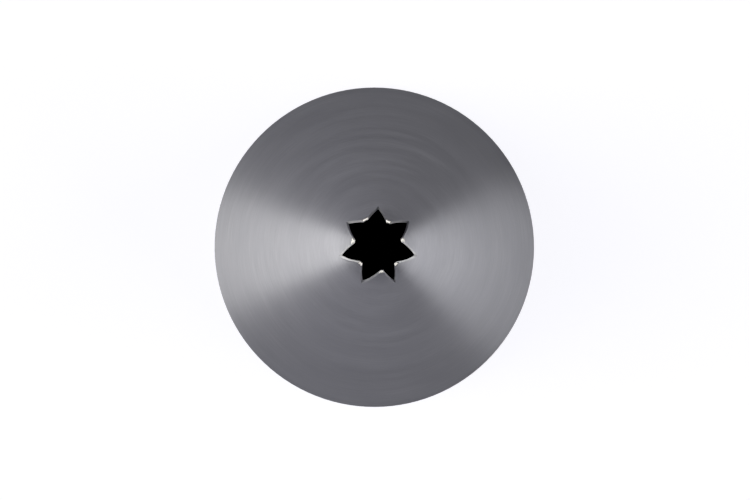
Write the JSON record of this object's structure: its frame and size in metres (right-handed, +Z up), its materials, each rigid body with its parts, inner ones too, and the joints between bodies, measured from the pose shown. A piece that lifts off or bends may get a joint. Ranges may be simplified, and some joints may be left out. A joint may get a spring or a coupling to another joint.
{
  "type": "piping nozzle",
  "caption": "Stainless steel piping nozzle: a plain seamed sheet metal cone whose narrow end is notched and bent in to a closed star outlet.",
  "frame": {"origin": "middle of the round mouth, on the plane that the nozzle stands on", "axes": "+Z up the cone's axis from the mouth to the star tip, +Y towards the seam and the star point above it"},
  "size_m": [0.035, 0.035, 0.05],
  "materials": {
    "brushed_stainless": "brushed round the cone",
    "weld_stainless": "ground flush outside, as welded inside"
  },
  "bodies": {
    "root": {"cone_wall": "brushed_stainless", "seam_weld": "weld_stainless"}
  },
  "joints": []
}
